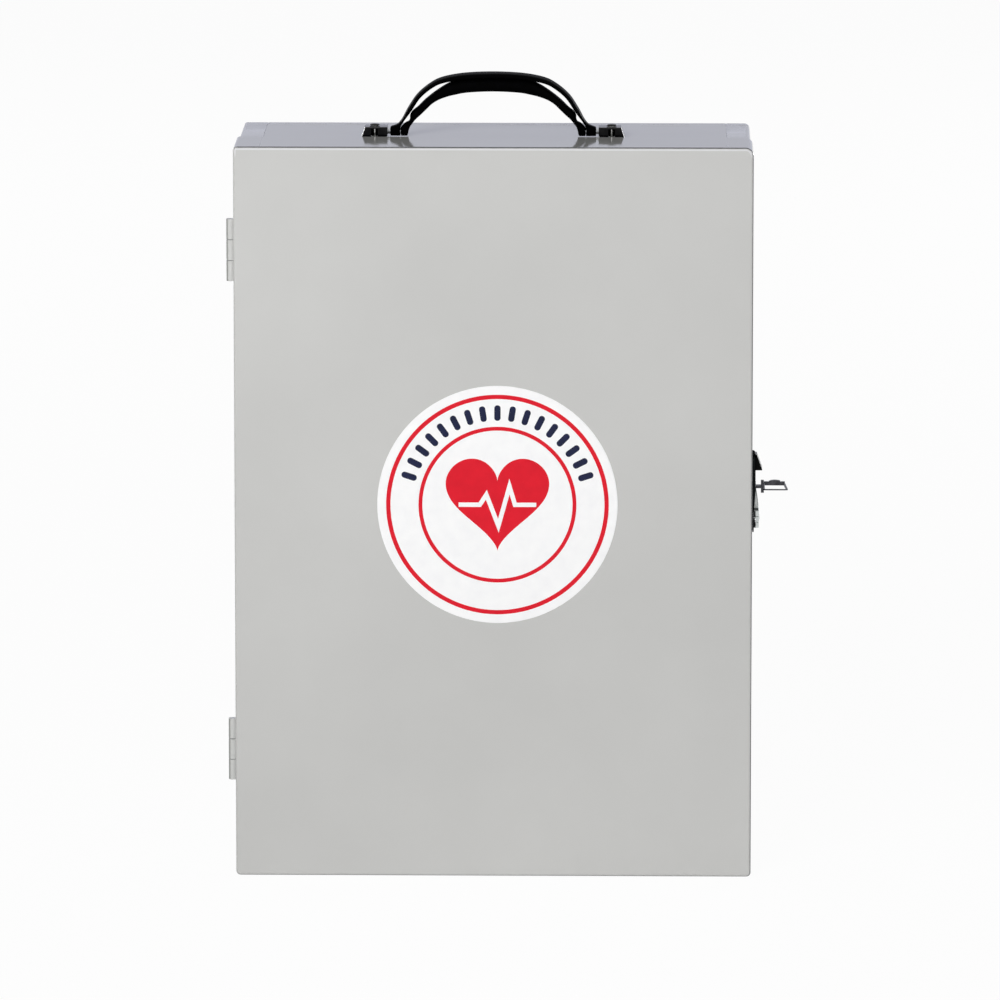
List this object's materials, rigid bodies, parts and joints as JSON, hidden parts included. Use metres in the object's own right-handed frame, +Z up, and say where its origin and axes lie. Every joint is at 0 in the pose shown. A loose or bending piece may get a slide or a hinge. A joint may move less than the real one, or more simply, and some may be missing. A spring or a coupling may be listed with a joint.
{
  "type": "first aid box",
  "caption": "Portable sheet-metal first aid box with shelves, a lap-over hinged door, a folding carrying handle and a key-operated spring latch.",
  "frame": {"origin": "on the underside, midway across the box and midway through its closed depth", "axes": "+Z up, -Y out of the door, +X towards the lock"},
  "size_m": [0.3056, 0.1153, 0.4341],
  "materials": {
    "case_paint": "semi-gloss light grey stove enamel",
    "shelf_paint": "semi-gloss light grey stove enamel",
    "hinge_paint": "painted over with the case",
    "label_vinyl": "satin printed vinyl",
    "handle_plastic": "moulded, semi-gloss",
    "foot_enamel": "gloss black enamel",
    "button_enamel": "black enamel",
    "pin_steel": "zinc plated",
    "rivet_steel": "nickel plated",
    "lock_nickel": "nickel plated",
    "hasp_nickel": "nickel plated, polished",
    "key_steel": "plated steel, worn"
  },
  "bodies": {
    "case": {"case_body": "case_paint", "shelf_1": "shelf_paint", "shelf_2": "shelf_paint", "lower_hinge_case_leaf": "hinge_paint", "upper_hinge_case_leaf": "hinge_paint", "lower_hinge_pin": "pin_steel", "upper_hinge_pin": "pin_steel", "handle_foot_left": "foot_enamel", "handle_foot_right": "foot_enamel", "handle_rivet_left": "rivet_steel", "handle_rivet_right": "rivet_steel", "handle_washer_left": "rivet_steel", "handle_washer_right": "rivet_steel", "lock_case": "lock_nickel", "lock_back_plate": "lock_nickel", "lock_housing": "lock_nickel", "lock_rivet_upper": "rivet_steel", "lock_rivet_lower": "rivet_steel", "slide_spring": "pin_steel"},
    "door": {"door_shell": "case_paint", "door_label": "label_vinyl", "lower_hinge_door_leaf": "hinge_paint", "upper_hinge_door_leaf": "hinge_paint", "hasp_plate": "lock_nickel", "hasp_pin": "pin_steel", "hasp_rivet_1": "rivet_steel", "hasp_rivet_2": "rivet_steel"},
    "handle": {"handle_grip": "handle_plastic", "handle_strap": "handle_plastic", "handle_pin_left": "pin_steel", "handle_pin_right": "pin_steel"},
    "hasp": {"hasp": "hasp_nickel"},
    "slide": {"slide_button": "button_enamel", "slide_plate": "lock_nickel"},
    "plug": {"lock_plug": "lock_nickel", "lock_cam": "lock_nickel", "cam_screw": "lock_nickel"},
    "key": {"key": "key_steel"}
  },
  "joints": [
    {"name": "door_swing", "type": "hinge", "parent": "case", "child": "door", "pos_m": [-0.1433, -0.0135, 0.2], "axis": [0, 0, -1], "range_deg": [0, 180]},
    {"name": "handle_fold", "type": "hinge", "parent": "case", "child": "handle", "pos_m": [-0.001, -0.003, 0.4018], "axis": [1, 0, 0], "range_deg": [-60, 60]},
    {"name": "hasp_swing", "type": "hinge", "parent": "door", "child": "hasp", "pos_m": [0.1423, -0.0176, 0.1911], "axis": [0, 0, -1], "range_deg": [0, 100]},
    {"name": "slide_release", "type": "slide", "parent": "case", "child": "slide", "axis": [0, 0, 1], "range_m": [0, 0.003], "stiffness_N_per_m": 300, "springref_m": -0.006, "deforming": ["slide_spring"]},
    {"name": "key_turn", "type": "hinge", "parent": "case", "child": "plug", "pos_m": [0.1424, -0.0015, 0.2065], "axis": [-1, 0, 0], "range_deg": [0, 90]},
    {"name": "key_pull", "type": "slide", "parent": "plug", "child": "key", "axis": [1, 0, 0], "range_m": [0, 0.015]}
  ]
}
